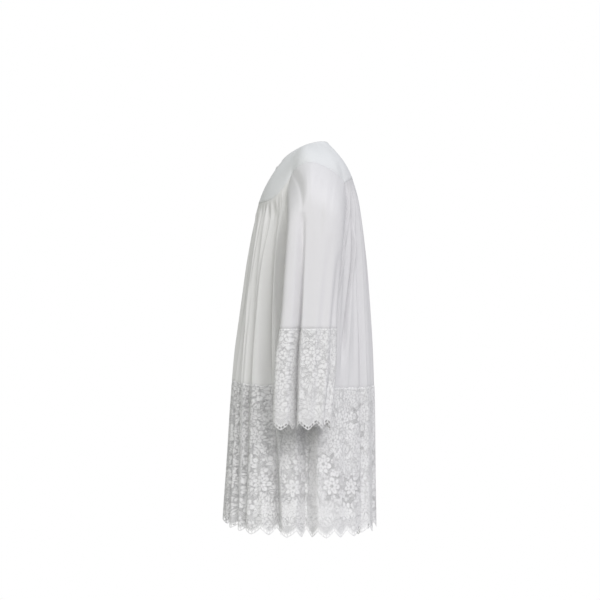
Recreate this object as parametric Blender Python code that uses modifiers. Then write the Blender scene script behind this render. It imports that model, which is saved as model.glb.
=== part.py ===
"""A lace surplice in its worn form: a smooth yoke over the shoulders, a pleated front
and back, two wide sleeves, and deep scalloped lace at the hem and the cuffs.

Metres, +Z up. The front faces -Y and the wearer's left is +X. The origin lies in the
neck opening, midway between the shoulders that carry the cloth."""

import math
from collections import namedtuple

import bmesh
import bpy
import numpy as np

# Cloth and seams
WALL = 0.0020
SEAM_GAP = 0.0010
SIDE_SEAM_GAP = 0.0005
SLEEVE_GAP = 0.0010
LACE_SEAM_GAP = 0.0005
MOST_BEND = math.radians(90)
SEAM_EASE = 2.0
CLOTH_ROUGHNESS = 0.85
LACE_ROUGHNESS = 0.80

# Heights
YOKE_FRONT = -0.130
YOKE_FRONT_CORNER = -0.072
YOKE_BACK = -0.072
YOKE_BACK_CORNER = -0.088
LACE_SEAM_FRONT = -0.571
LACE_SEAM_BACK = -0.582
HEM_FRONT = -0.918
HEM_BACK = -0.930
SLEEVE_SEAM = -0.435
CUFF_LOW = -0.668

# Angles around the body, from the centre front
FRONT_CORNER = math.radians(66)
BACK_CORNER = math.radians(126)
SIDE_SEAM = math.radians(95)

# Neck opening
NECK_HALF_WIDTH = 0.064
NECK_FRONT = -0.070
NECK_BACK = 0.047
NECK_FRONT_HEIGHT = -0.020
NECK_BACK_HEIGHT = 0.022

# Pleats, scallops and columns of the walls. The sleeve's columns are counted from the cuff's
# outer parting.
FRONT_PLEATS = 20
BACK_PLEATS = 16
PLEAT_COLUMNS = 3
ARMHOLE_COLUMNS = 6
SHOULDER_COLUMNS = 6
PLEAT_DEPTH = 0.0085
PLEAT_AT_SEAM = 0.28
PLEAT_PROFILE = (0.0, 1.0, 0.35, 0.0)
PLEAT_UNEVENNESS = 0.20
PLEAT_CHANGE = 2.4
PLEAT_CHANGE_START = 0.7
YOKE_REACH = 0.42
YOKE_EASES = 5
YOKE_FRONT_CURL = 6
YOKE_BACK_CURL = 3
SCALLOP_COLUMNS = 3
CUFF_PARTING = math.radians(74)
CUFF_PARTING_ANGLE = 0.005
PARTING_COLUMN = 4
SCALLOP_DEPTH = 0.016
SCALLOP_POINT = 1.3

# Lace border, measured up from the scalloped edge
EDGE_CORD = 0.0048
LADDER_GAP = 0.0056
BORDER_TOP = 0.040
LARGE_GAP = 0.0060

# Shares of a panel's length at which its rows lie
PANEL_SHARES = (0.0, 0.07, 0.24, 0.48, 0.74, 1.0)
SLEEVE_SHARES = (0.0, 0.07, 0.17, 0.31, 0.50, 0.75, 1.0)
HEM_LACE_SHARES = (0.0, 0.34, 0.70)
CUFF_LACE_SHARES = (0.0, 0.50)
YOKE_SHARES = (0.16, 0.40, 0.68, 1.0)
SEWN_SHARE = 0.10
PANEL_FADE = 0.16
SLEEVE_FADE = 0.11
FADE_POWER = 2.4
FOLD_GROWTH = 0.60
SPREAD_POWER = 0.8
MEASURED_POINTS = 4001

# Colours
YOKE_WHITE = (0.86, 0.88, 0.89)
COTTON = (0.87, 0.88, 0.87)
LACE_WHITE = (0.90, 0.90, 0.89)

# Outlines of the body and of a sleeve at each height
Ring = namedtuple("Ring", "height front back inner outer front_round back_round outer_round")
BODY_RINGS = (
    Ring(-0.060, -0.0980, 0.0980, -0.163, 0.163, 2.30, 3.6, 2.30),
    Ring(-0.095, -0.1175, 0.1100, -0.166, 0.166, 2.30, 3.4, 2.30),
    Ring(-0.155, -0.1375, 0.1250, -0.170, 0.170, 2.30, 3.0, 2.30),
    Ring(-0.250, -0.1575, 0.1385, -0.174, 0.174, 2.25, 2.6, 2.25),
    Ring(-0.370, -0.1750, 0.1475, -0.179, 0.179, 2.20, 2.4, 2.20),
    Ring(-0.490, -0.1900, 0.1550, -0.188, 0.188, 2.20, 2.3, 2.20),
    Ring(-0.640, -0.2025, 0.1600, -0.201, 0.201, 2.15, 2.2, 2.15),
    Ring(-0.760, -0.2100, 0.1610, -0.224, 0.224, 2.10, 2.2, 2.10),
    Ring(-0.940, -0.2225, 0.1635, -0.264, 0.264, 2.10, 2.2, 2.10),
)
SLEEVE_RINGS = (
    Ring(-0.040, -0.046, 0.085, 0.174, 0.276, 2.2, 2.3, 6.0),
    Ring(-0.100, -0.050, 0.084, 0.176, 0.288, 2.2, 2.3, 6.0),
    Ring(-0.200, -0.057, 0.078, 0.178, 0.300, 2.2, 2.3, 6.0),
    Ring(-0.300, -0.064, 0.069, 0.183, 0.306, 2.2, 2.3, 6.0),
    Ring(-0.435, -0.075, 0.060, 0.192, 0.310, 2.2, 2.3, 6.0),
    Ring(-0.500, -0.085, 0.059, 0.197, 0.312, 2.2, 2.3, 6.0),
    Ring(-0.590, -0.089, 0.053, 0.206, 0.314, 2.2, 2.3, 6.0),
    Ring(-0.680, -0.091, 0.043, 0.214, 0.316, 2.2, 2.3, 6.0),
)

# Long folds, as troughs pressed into an outline. Angles are degrees at the hem from the
# centre front, drift is added at the top, and start is the height where a fold begins.
Fold = namedtuple("Fold", "angle drift width depth start")
BODY_FOLDS = (
    Fold(12, -5, 6.0, 0.022, -0.16),
    Fold(24, -10, 6.0, 0.018, -0.13),
    Fold(36, -19, 6.5, 0.030, -0.13),
    Fold(47, -13, 6.0, 0.026, -0.12),
    Fold(72, -22, 8.0, 0.042, -0.10),
    Fold(95, -6, 7.5, 0.038, -0.30),
    Fold(123, 2, 9.0, 0.006, -0.46),
    Fold(144, 2, 7.0, 0.030, -0.09),
    Fold(163, 4, 7.0, 0.018, -0.10),
    Fold(-9, 4, 6.0, 0.017, -0.13),
    Fold(-21, 9, 6.5, 0.027, -0.14),
    Fold(-34, 13, 6.0, 0.020, -0.13),
    Fold(-51, 15, 8.0, 0.036, -0.12),
    Fold(-72, 20, 8.0, 0.040, -0.11),
    Fold(-97, 8, 8.5, 0.042, -0.31),
    Fold(-119, 0, 8.0, 0.020, -0.40),
    Fold(-139, -3, 7.5, 0.032, -0.09),
    Fold(-157, -3, 7.0, 0.021, -0.10),
    Fold(179, 3, 7.5, 0.024, -0.11),
)
SLEEVE_FOLDS = (
    Fold(72, -14, 18, 0.034, -0.09),
    Fold(112, 6, 15, 0.008, -0.22),
    Fold(146, 3, 17, 0.013, -0.26),
    Fold(186, -2, 16, 0.015, -0.16),
    Fold(216, 0, 17, 0.013, -0.28),
    Fold(250, 0, 20, 0.016, -0.30),
    Fold(300, 0, 19, 0.014, -0.24),
    Fold(349, 2, 14, 0.010, -0.20),
)

# The armhole below the yoke: a point a row, from the front corner round the underarm
Point = namedtuple("Point", "out along height")
ARMHOLE_FRONT = (
    Point(0.1600, -0.058, -0.112),
    Point(0.1670, -0.050, -0.186),
    Point(0.1715, -0.026, -0.245),
    Point(0.1735, 0.008, -0.268),
)
ARMHOLE_BACK = (
    Point(0.1735, 0.008, -0.268),
    Point(0.1715, 0.042, -0.248),
    Point(0.1660, 0.070, -0.190),
    Point(0.1580, 0.084, -0.130),
)
SHOULDER = (
    Point(0.1740, -0.030, -0.051),
    Point(0.1890, -0.002, -0.043),
    Point(0.1840, 0.030, -0.052),
    Point(0.1700, 0.058, -0.068),
)


def read_rows(rows, field, height):
    """A column of a table at each height, on a smooth curve through its rows."""
    at = np.array([row.height for row in rows])[::-1]
    values = np.array([getattr(row, field) for row in rows])[::-1]
    slopes = np.gradient(values, at)
    height = np.clip(height, at[0], at[-1])
    low = np.clip(np.searchsorted(at, height) - 1, 0, len(at) - 2)
    span = at[low + 1] - at[low]
    t = (height - at[low]) / span
    start = values[low] * (1 + 2 * t) * (1 - t) ** 2 + slopes[low] * span * t * (1 - t) ** 2
    end = values[low + 1] * t * t * (3 - 2 * t) + slopes[low + 1] * span * t * t * (t - 1)
    return start + end


def signed_power(value, power):
    return np.sign(value) * np.abs(value) ** power


def unit(vectors):
    return vectors / np.linalg.norm(vectors, axis=-1, keepdims=True)


def ring_point(rings, angle, height):
    """Points of an outline, at angles from its front towards its outer side."""
    front, back, inner, outer = (
        read_rows(rings, side, height) for side in ("front", "back", "inner", "outer")
    )
    before = np.cos(angle) > 0
    roundness = np.where(
        before, read_rows(rings, "front_round", height), read_rows(rings, "back_round", height)
    )
    forward = signed_power(np.cos(angle), 2 / roundness)
    roundness = np.where(
        before & (np.sin(angle) > 0), read_rows(rings, "outer_round", height), roundness
    )
    aside = np.clip(1 - np.abs(forward) ** roundness, 0, 1) ** (1 / roundness)
    x = (outer + inner) / 2 + (outer - inner) / 2 * np.sign(np.sin(angle)) * aside
    y = (front + back) / 2 - (back - front) / 2 * forward
    return np.stack([x, y, height + 0 * x], axis=-1)


def inward(rings, angle, height):
    half_width = read_rows(rings, "outer", height) - read_rows(rings, "inner", height)
    half_depth = read_rows(rings, "back", height) - read_rows(rings, "front", height)
    way = np.stack(
        [-np.sin(angle) / half_width, np.cos(angle) / half_depth, 0 * angle], axis=-1
    )
    return unit(way)


def fold_depth(folds, low, angle, height):
    """How far the long folds press an outline in."""
    depth = 0 * angle
    for fold in folds:
        grown = np.clip((fold.start - height) / (fold.start - low), 0, 1)
        centre = np.radians(fold.angle + fold.drift * (1 - grown))
        away = (angle - centre + math.pi) % (2 * math.pi) - math.pi
        near = np.clip(away / math.radians(fold.width), -1, 1)
        depth = depth + fold.depth * grown**FOLD_GROWTH * np.cos(near * math.pi / 2) ** 2
    return depth


def folded(cloth, angle, height, pressed=1.0, extra=0.0):
    depth = pressed * fold_depth(cloth.folds, cloth.low, angle, height) + extra
    way = inward(cloth.rings, angle, height)
    return ring_point(cloth.rings, angle, height) + way * np.asarray(depth)[..., None]


Cloth = namedtuple("Cloth", "rings folds low")
BODY = Cloth(BODY_RINGS, BODY_FOLDS, HEM_BACK)
SLEEVE = Cloth(SLEEVE_RINGS, SLEEVE_FOLDS, CUFF_LOW)


def angle_of(rings, points):
    """The angle on an outline that lies nearest to each point of an edge."""
    height = points[:, 2]
    middle = (read_rows(rings, "outer", height) + read_rows(rings, "inner", height)) / 2
    centre = (read_rows(rings, "front", height) + read_rows(rings, "back", height)) / 2
    half_width = read_rows(rings, "outer", height) - middle
    half_depth = read_rows(rings, "back", height) - centre
    x = (points[:, 0] - middle) / half_width
    y = (centre - points[:, 1]) / half_depth
    roundness = np.where(
        y > 0,
        read_rows(rings, "front_round", height),
        read_rows(rings, "back_round", height),
    )
    return np.arctan2(signed_power(x, roundness / 2), signed_power(y, roundness / 2))


def equal_angles(cloth, start, end, count, height):
    """Angles from start to end that part the folded hem into equal lengths of cloth."""
    dense = np.linspace(start, end, MEASURED_POINTS)
    points = folded(cloth, dense, np.full(dense.shape, height))
    steps = np.linalg.norm(np.diff(points, axis=0), axis=1)
    length = np.concatenate([[0], np.cumsum(steps)])
    return np.interp(np.linspace(0, length[-1], count + 1), length, dense)


def through(points, count):
    """Points at equal steps along a smooth curve through a few."""
    points = np.array(points)
    steps = np.linalg.norm(np.diff(points, axis=0), axis=1)
    at = np.concatenate([[0], np.cumsum(steps)])
    slopes = np.gradient(points, at, axis=0)
    where = np.linspace(0, at[-1], count + 1)
    low = np.clip(np.searchsorted(at, where) - 1, 0, len(at) - 2)
    span = (at[low + 1] - at[low])[:, None]
    t = (where - at[low])[:, None] / span
    start = points[low] * (1 + 2 * t) * (1 - t) ** 2 + slopes[low] * span * t * (1 - t) ** 2
    end = points[low + 1] * t * t * (3 - 2 * t) + slopes[low + 1] * span * t * t * (t - 1)
    return start + end


def yoke_front_edge(count):
    share = np.linspace(-1, 1, count + 1)
    height = YOKE_FRONT + (YOKE_FRONT_CORNER - YOKE_FRONT) * np.abs(share) ** YOKE_FRONT_CURL
    return ring_point(BODY_RINGS, share * FRONT_CORNER, height)


def yoke_back_edge(count):
    share = np.linspace(-1, 1, count + 1)
    height = YOKE_BACK + (YOKE_BACK_CORNER - YOKE_BACK) * np.abs(share) ** YOKE_BACK_CURL
    return ring_point(BODY_RINGS, math.pi + share * (math.pi - BACK_CORNER), height)


def mirrored(points):
    return (points * np.array([-1, 1, 1]))[::-1]


def armhole_parts():
    """The left armhole in three edges: down the front, up the back, and over the shoulder."""
    front_corner = yoke_front_edge(2)[-1]
    back_corner = yoke_back_edge(2)[0]
    front = through([front_corner, *ARMHOLE_FRONT], ARMHOLE_COLUMNS)
    back = through([*ARMHOLE_BACK, back_corner], ARMHOLE_COLUMNS)
    shoulder = through([front_corner, *SHOULDER, back_corner], SHOULDER_COLUMNS)
    return front, back, shoulder


def pleat_share(columns, edge_columns):
    """The pleats' pressed-in share at each column, nothing beside the armholes."""
    index = np.arange(columns + 1)
    inside = (index >= edge_columns) & (index <= columns - edge_columns)
    pleat = (index - edge_columns) // PLEAT_COLUMNS
    step = (index - edge_columns) % PLEAT_COLUMNS
    wave = np.sin(PLEAT_CHANGE * pleat + PLEAT_CHANGE_START)
    uneven = 1 - PLEAT_UNEVENNESS + PLEAT_UNEVENNESS * wave
    return np.where(inside, np.array(PLEAT_PROFILE)[step] * uneven, 0.0)


def lace_seam(angle):
    middle = (LACE_SEAM_FRONT + LACE_SEAM_BACK) / 2
    return middle + (LACE_SEAM_FRONT - LACE_SEAM_BACK) / 2 * np.cos(angle)


def hem_low(angle):
    middle = (HEM_FRONT + HEM_BACK) / 2
    return middle + (HEM_FRONT - HEM_BACK) / 2 * np.cos(angle)


def unwrapped(top_angle, low_angle):
    """The top angles, turned by whole turns so that each lies nearest to its low angle."""
    return top_angle + 2 * math.pi * np.round((low_angle - top_angle) / (2 * math.pi))


def hanging_rows(cloth, top, top_angle, low_angle, low_height, shares, fade, pleats=0.0):
    """Rows of a panel from its sewn top edge down to its low edge."""
    off_ring = top - ring_point(cloth.rings, top_angle, top[:, 2])
    rows = []
    for share in shares:
        height = top[:, 2] + (low_height - top[:, 2]) * share
        angle = top_angle + (low_angle - top_angle) * share**SPREAD_POWER
        left = np.clip(1 - (top[:, 2] - height) / fade, 0, 1) ** FADE_POWER
        sewn = min(1.0, share / SEWN_SHARE)
        depth = PLEAT_DEPTH * pleats * sewn * (1 - (1 - PLEAT_AT_SEAM) * share)
        rows.append(folded(cloth, angle, height, sewn, depth) + off_ring * left[:, None])
    return rows


def opened(edge, own, other, corners):
    """An edge drawn back square to the seam, further where two cloths meet at a bend."""
    along = np.roll(edge, -1, axis=0) - np.roll(edge, 1, axis=0)
    for start, end in corners:
        along[start] = edge[start + 1] - edge[start]
        along[end] = edge[end] - edge[end - 1]
    along = unit(along)
    way, across = (
        unit(row - edge - along * np.sum((row - edge) * along, axis=1, keepdims=True))
        for row in (own, other)
    )
    bend = np.arccos(np.clip(-np.sum(way * across, axis=1), math.cos(MOST_BEND), 1))
    return edge + way * (SEAM_GAP / 2 + SEAM_EASE * WALL * np.tan(bend / 2))[:, None]


def lace_rows(cloth, fine_angle, top_row, top_height, low, shares):
    """Rows of a lace band: coarse rows, then the border that follows the scallops."""
    coarse = fine_angle[::2]
    low_coarse = low[::2]
    rows = [top_row]
    border = low_coarse + BORDER_TOP + LARGE_GAP
    for share in shares[1:]:
        rows.append(folded(cloth, coarse, top_height + (border - top_height) * share))
    rows.append(folded(cloth, coarse, border))
    rows.append(folded(cloth, coarse, low_coarse + BORDER_TOP))
    step = np.arange(len(fine_angle)) % (2 * SCALLOP_COLUMNS)
    across = 2 * step / (2 * SCALLOP_COLUMNS) - 1
    edge = low + SCALLOP_DEPTH * np.abs(across) ** SCALLOP_POINT
    for rise in (EDGE_CORD + LADDER_GAP, EDGE_CORD, 0.0):
        rows.append(folded(cloth, fine_angle, edge + rise))
    return rows


def border_gaps(rows, columns):
    """The openings of the border: three in each scallop's ladder and a larger one above."""
    ladder = len(rows) - 3
    large = len(rows) - 5
    gaps = {(ladder, column) for column in range(0, 2 * columns, 2)}
    gaps |= {(large, column) for column in range(0, columns, SCALLOP_COLUMNS)}
    return gaps


def domed(corners):
    """A four-cornered face parted along the diagonal that bulges outwards."""
    if len(corners) != 4:
        return [corners]
    first, second, third, fourth = (corner.co for corner in corners)
    outward = (third - first).cross(fourth - second)
    if (first + third - second - fourth).dot(outward) > 0:
        return [corners[:3], [corners[2], corners[3], corners[0]]]
    return [corners[1:], [corners[3], corners[0], corners[1]]]


def make_wall(name, rows, material, closed=False, gaps=(), flipped=False, bulging=False):
    """A cloth wall lofted through rows of points, thickened inwards."""
    mesh = bmesh.new()
    points = [[mesh.verts.new(point) for point in row] for row in rows]
    for index, (upper, lower) in enumerate(zip(points[:-1], points[1:])):
        spans = [len(row) - (not closed) for row in (upper, lower)]
        columns = min(spans)
        for column in range(columns):
            if (index, column) in gaps:
                continue
            above, below = (
                [row[(column * span // columns + k) % len(row)] for k in range(span // columns + 1)]
                for row, span in zip((upper, lower), spans)
            )
            face = above[::-1] + below
            if flipped:
                face.reverse()
            for corners in domed(face) if bulging else [face]:
                mesh.faces.new(corners)
    data = bpy.data.meshes.new(name)
    mesh.to_mesh(data)
    mesh.free()
    data.shade_smooth()
    wall = bpy.data.objects.new(name, data)
    data.materials.append(material)
    solidify = wall.modifiers.new("Cloth", "SOLIDIFY")
    solidify.thickness = WALL
    solidify.offset = -1
    bpy.data.collections["lace surplice"].objects.link(wall)


def make_material(name, colour, roughness):
    material = bpy.data.materials.new(name)
    material.use_nodes = True
    shader = material.node_tree.nodes["Principled BSDF"]
    shader.inputs["Base Color"].default_value = (*colour, 1)
    shader.inputs["Roughness"].default_value = roughness
    shader.inputs["Metallic"].default_value = 0
    material.diffuse_color = (*colour, 1)
    return material


def neck_point(angle):
    """The neck opening: low at the front and level behind."""
    x = NECK_HALF_WIDTH * np.sin(angle)
    y = (NECK_FRONT + NECK_BACK) / 2 - (NECK_BACK - NECK_FRONT) / 2 * np.cos(angle)
    share = (1 - np.cos(angle)) / 2
    height = NECK_FRONT_HEIGHT + (NECK_BACK_HEIGHT - NECK_FRONT_HEIGHT) * share * (2 - share)
    return np.stack([x, y, height], axis=-1)


def yoke_edge():
    """The yoke's whole outer edge: front, left shoulder, back and right shoulder."""
    _, _, shoulder = armhole_parts()
    return np.concatenate(
        [
            yoke_front_edge(FRONT_PLEATS * PLEAT_COLUMNS)[:-1],
            shoulder[:-1],
            yoke_back_edge(BACK_PLEATS * PLEAT_COLUMNS)[:-1],
            mirrored(shoulder)[:-1],
        ]
    )


def yoke_rows(edge, below):
    """Rows from the neck to the outer edge, where the yoke runs on into what hangs below."""
    outer = edge[::PLEAT_COLUMNS]
    neck = neck_point(np.arctan2(outer[:, 0], -outer[:, 1]))
    rise = unit(outer - below[::PLEAT_COLUMNS])
    across = (FRONT_PLEATS - np.arange(len(outer))) % len(outer)
    rise = unit(rise + rise[across] * np.array([-1, 1, 1]))
    for _ in range(YOKE_EASES):
        rise = unit(np.roll(rise, 1, axis=0) + 2 * rise + np.roll(rise, -1, axis=0))
    reach = YOKE_REACH * np.linalg.norm(outer - neck, axis=1, keepdims=True)
    control = outer + rise * reach
    rows = [
        outer * (1 - share) ** 2 + control * 2 * share * (1 - share) + neck * share**2
        for share in YOKE_SHARES
    ]
    return rows + [edge]


def panel_edges():
    """The sewn top edges of the front and the back, each from one side seam to the other."""
    front_armhole, back_armhole, _ = armhole_parts()
    front_edge = yoke_front_edge(FRONT_PLEATS * PLEAT_COLUMNS)
    back_edge = yoke_back_edge(BACK_PLEATS * PLEAT_COLUMNS)
    front = np.concatenate([mirrored(front_armhole)[:-1], front_edge, front_armhole[1:]])
    back = np.concatenate([back_armhole[:-1], back_edge, mirrored(back_armhole)[1:]])
    for edge, side in ((front, -1), (back, 1)):
        edge[0, 1] += side * SIDE_SEAM_GAP / 2
        edge[-1, 1] += side * SIDE_SEAM_GAP / 2
    return front, back


def panel_angles(edge, start, end):
    """Fine column angles of a panel's lace; every second one is a column of the panel."""
    parting = SIDE_SEAM_GAP / 2 / BODY_RINGS[-1].outer
    return equal_angles(BODY, start + parting, end - parting, 2 * (len(edge) - 1), HEM_BACK)


def panel_rows(edge, fine):
    angle = fine[::2]
    top_angle = unwrapped(angle_of(BODY_RINGS, edge), angle)
    pleats = pleat_share(len(edge) - 1, ARMHOLE_COLUMNS)
    seam = lace_seam(angle)
    return hanging_rows(BODY, edge, top_angle, angle, seam, PANEL_SHARES, PANEL_FADE, pleats)


def sleeve_loop():
    """The left sleeve's sewn edge, from the front corner over the shoulder and round."""
    front, back, shoulder = armhole_parts()
    return np.concatenate([shoulder[:-1], back[::-1][:-1], front[::-1][:-1]])


def between(loop, steps):
    """A closed loop with the straight lines between its points parted into steps."""
    following = np.roll(loop, -1, axis=0)
    parts = [loop + (following - loop) * step / steps for step in range(steps)]
    return np.stack(parts, axis=1).reshape(-1, 3)


def sleeve_angles():
    columns = 2 * len(sleeve_loop())
    return equal_angles(SLEEVE, CUFF_PARTING, CUFF_PARTING + 2 * math.pi, 2 * columns, CUFF_LOW)


def sleeve_rows(fine):
    """Rows of the left sleeve, with column 0 at the cuff's outer parting."""
    top = np.roll(between(sleeve_loop(), 2), -PARTING_COLUMN, axis=0)
    top = top + np.array([SLEEVE_GAP, 0, 0])
    seam = np.full(len(top), SLEEVE_SEAM)
    angle = fine[:-1:2]
    return hanging_rows(SLEEVE, top, angle, angle, seam, SLEEVE_SHARES, SLEEVE_FADE)


def make_panel(part, rows, fine, beyond, cloth_material, lace_material):
    """A pleated panel, and the lace sewn below it."""
    columns = len(rows[0]) - 1
    lift = np.array([0, 0, LACE_SEAM_GAP / 2])
    corners = ((0, columns), (ARMHOLE_COLUMNS, columns - ARMHOLE_COLUMNS))
    wall = [opened(rows[0], rows[1], beyond, corners), *rows[1:-1], rows[-1] + lift]
    make_wall(part, wall, cloth_material)
    seam = lace_seam(fine[::2])
    lace = lace_rows(BODY, fine, rows[-1] - lift, seam, hem_low(fine), HEM_LACE_SHARES)
    make_wall("hem_lace_" + part, lace, lace_material, gaps=border_gaps(lace, columns))


def make_sleeve(side, rows, fine, beyond, cloth_material, lace_material):
    """A sleeve, and its cuff lace in an outer and an inner half."""
    sign = 1 if side == "left" else -1
    turn = np.array([sign, 1, 1])
    lift = np.array([0, 0, LACE_SEAM_GAP / 2])
    wall = [opened(rows[0], rows[1], beyond, ()), *rows[1:-1], rows[-1] + lift]
    make_wall("sleeve_" + side, [row * turn for row in wall], cloth_material, True, (), sign < 0)
    half = len(rows[0]) // 2
    for part, start in (("back", 0), ("front", 2 * half)):
        angle = fine[start : start + 2 * half + 1].copy()
        angle[0] += CUFF_PARTING_ANGLE
        angle[-1] -= CUFF_PARTING_ANGLE
        seam = np.full(half + 1, SLEEVE_SEAM)
        low = np.full(len(angle), CUFF_LOW)
        top = folded(SLEEVE, angle[::2], seam) - lift
        lace = lace_rows(SLEEVE, angle, top, seam, low, CUFF_LACE_SHARES)
        name = f"cuff_lace_{side}_{part}"
        gaps = border_gaps(lace, half)
        make_wall(name, [row * turn for row in lace], lace_material, False, gaps, sign < 0)


def make_garment():
    """Works out every piece's rows, then opens the seams between them and makes the walls."""
    front_edge, back_edge = panel_edges()
    front_fine = panel_angles(front_edge, -SIDE_SEAM, SIDE_SEAM)
    back_fine = panel_angles(back_edge, SIDE_SEAM, 2 * math.pi - SIDE_SEAM)
    sleeve_fine = sleeve_angles()
    front, back = panel_rows(front_edge, front_fine), panel_rows(back_edge, back_fine)
    sleeve = sleeve_rows(sleeve_fine)

    hung = np.roll(sleeve[1], PARTING_COLUMN, axis=0)[::2]
    over, behind, before = (
        np.concatenate([hung, hung[:1]])[start : start + ARMHOLE_COLUMNS + 1]
        for start in (0, ARMHOLE_COLUMNS, 2 * ARMHOLE_COLUMNS)
    )
    inner = slice(ARMHOLE_COLUMNS, -ARMHOLE_COLUMNS - 1)
    edge = yoke_edge()
    below = np.concatenate([front[1][inner], over[:-1], back[1][inner], mirrored(over)[:-1]])
    yoke = yoke_rows(edge, below)
    near = between(yoke[0], PLEAT_COLUMNS)
    front_span = FRONT_PLEATS * PLEAT_COLUMNS
    back_start = front_span + SHOULDER_COLUMNS
    back_end = back_start + BACK_PLEATS * PLEAT_COLUMNS
    low_edge = opened(edge, near, below, ((0, front_span), (back_start, back_end)))
    yoke_cloth = make_material("yoke cloth", YOKE_WHITE, CLOTH_ROUGHNESS)
    make_wall("yoke", yoke[-2::-1] + [low_edge], yoke_cloth, closed=True, bulging=True)
    beyond_front = np.concatenate(
        [mirrored(before[::-1])[:-1], near[: front_span + 1], before[::-1][1:]]
    )
    beyond_back = np.concatenate(
        [behind[::-1][:-1], near[back_start : back_end + 1], mirrored(behind[::-1])[1:]]
    )
    for part, rows, fine, beyond in (
        ("front", front, front_fine, beyond_front),
        ("back", back, back_fine, beyond_back),
    ):
        cloth = make_material(part + " cloth", COTTON, CLOTH_ROUGHNESS)
        lace = make_material(part + " hem lace", LACE_WHITE, LACE_ROUGHNESS)
        make_panel(part, rows, fine, beyond, cloth, lace)

    back_armhole, front_armhole = back[1][: ARMHOLE_COLUMNS + 1], front[1][-ARMHOLE_COLUMNS - 1 :]
    beyond_sleeve = np.concatenate(
        [near[front_span:back_start], back_armhole[::-1][:-1], front_armhole[::-1][:-1]]
    )
    beyond_sleeve = np.roll(between(beyond_sleeve, 2), -PARTING_COLUMN, axis=0)
    for side in ("left", "right"):
        cloth = make_material(side + " sleeve cloth", COTTON, CLOTH_ROUGHNESS)
        lace = make_material(side + " cuff lace", LACE_WHITE, LACE_ROUGHNESS)
        make_sleeve(side, sleeve, sleeve_fine, beyond_sleeve, cloth, lace)


def main():
    for thing in list(bpy.data.objects):
        bpy.data.objects.remove(thing)
    parts = bpy.data.collections.new("lace surplice")
    bpy.context.scene.collection.children.link(parts)
    make_garment()


main()
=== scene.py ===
import math
from collections import namedtuple
from functools import partial

import bmesh
import bpy
import numpy as np
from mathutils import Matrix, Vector


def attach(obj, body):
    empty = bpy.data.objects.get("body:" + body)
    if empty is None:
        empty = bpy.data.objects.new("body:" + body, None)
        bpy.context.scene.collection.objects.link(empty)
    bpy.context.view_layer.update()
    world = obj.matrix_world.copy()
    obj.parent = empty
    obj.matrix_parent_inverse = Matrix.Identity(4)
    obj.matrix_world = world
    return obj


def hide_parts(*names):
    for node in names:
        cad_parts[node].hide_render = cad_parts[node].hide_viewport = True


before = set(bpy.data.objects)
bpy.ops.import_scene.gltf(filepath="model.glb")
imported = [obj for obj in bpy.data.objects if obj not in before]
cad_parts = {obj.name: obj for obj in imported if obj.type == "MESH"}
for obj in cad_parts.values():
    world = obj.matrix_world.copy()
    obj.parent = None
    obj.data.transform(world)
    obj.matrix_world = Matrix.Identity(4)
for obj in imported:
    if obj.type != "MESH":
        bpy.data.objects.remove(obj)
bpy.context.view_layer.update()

MM = 0.001
TURN = 2 * math.pi

# Cloth walls of this dressed model, how finely they are drawn, and how far their edges turn
# in, tuck under and lap at the seams
CLOTH = 0.0010
LACE = 0.0006
FINE = 5
SLEEVE_FINE = 12
LACE_FINE = 3
PANEL_ROWS = 71
SLEEVE_ROWS = 61
HEM_LACE_ROWS = 44
CUFF_LACE_ROWS = 30
ROWS_CLOSER = 1.25
MEASURED_POINTS = 4001
TURNED = 0.0035
TOP_TURNED = 0.0016
LOW_TURNED = 0.0012
PANEL_TUCK = 0.0020
SLEEVE_TUCK = 0.0010
SLEEVE_OFF = 0.0006
LACE_LAP = 0.0015
LAP = 0.0022

# Heights, as in the solids
YOKE_FRONT = -0.130
YOKE_FRONT_CORNER = -0.072
YOKE_BACK = -0.072
YOKE_BACK_CORNER = -0.088
LACE_SEAM_FRONT = -0.571
LACE_SEAM_BACK = -0.582
HEM_FRONT = -0.918
HEM_BACK = -0.930
SLEEVE_SEAM = -0.435
CUFF_LOW = -0.668

# Angles from the centre front, around the body and, for the cuff, around a sleeve
FRONT_CORNER = math.radians(66)
BACK_CORNER = math.radians(126)
SIDE_SEAM = math.radians(95)
CUFF_PARTING = math.radians(74)

# Neck opening
NECK_HALF_WIDTH = 0.064
NECK_FRONT = -0.070
NECK_BACK = 0.047
NECK_FRONT_HEIGHT = -0.020
NECK_BACK_HEIGHT = 0.022

# Pleats, folds and creases
FRONT_PLEATS = 20
BACK_PLEATS = 16
PLEAT_COLUMNS = 3
ARMHOLE_COLUMNS = 6
SLEEVE_START = 2
SHOULDER_COLUMNS = 6
PLEAT_DEPTH = 0.0085
PLEAT_AT_SEAM = 0.28
PLEAT_LEAN = 0.66
PLEAT_POINT = 1.4
PLEAT_UNEVEN = 0.20
SEWN_SHARE = 0.10
PANEL_FADE = 0.16
SLEEVE_FADE = 0.11
FADE_POWER = 2.4
SPREAD = 0.8
FOLD_GROWTH = 0.60
CREASE_STARTS = 5
CREASE_ENDS = 3

# The yoke, its turned neck edge, its pressed line and its sewn edge
YOKE_FRONT_CURVE = 6
YOKE_BACK_CURVE = 3
YOKE_REACH = 0.42
YOKE_COLUMNS = 8
YOKE_ROWS = 61
YOKE_DROP = 0.035
YOKE_SMOOTHING = 160
YOKE_WAVES = 7.0
YOKE_HELD = 0.45
SHOULDER_FALL = 0.75
SHOULDER_FINE = 16
NECK_TURN = 0.0065
NECK_STEP = 0.0024
NECK_RAISE = 0.0006
PRESSED_AT = 0.031
PRESSED_WIDTH = 0.0016
PRESSED_RAISE = 0.0016
PRESSED_FROM = 0.05
PRESSED_GROWTH = 3
PRESSED_SEWN = 0.30
SEAM_TURN = 0.0080
SEAM_RAISE = 0.0003

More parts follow.
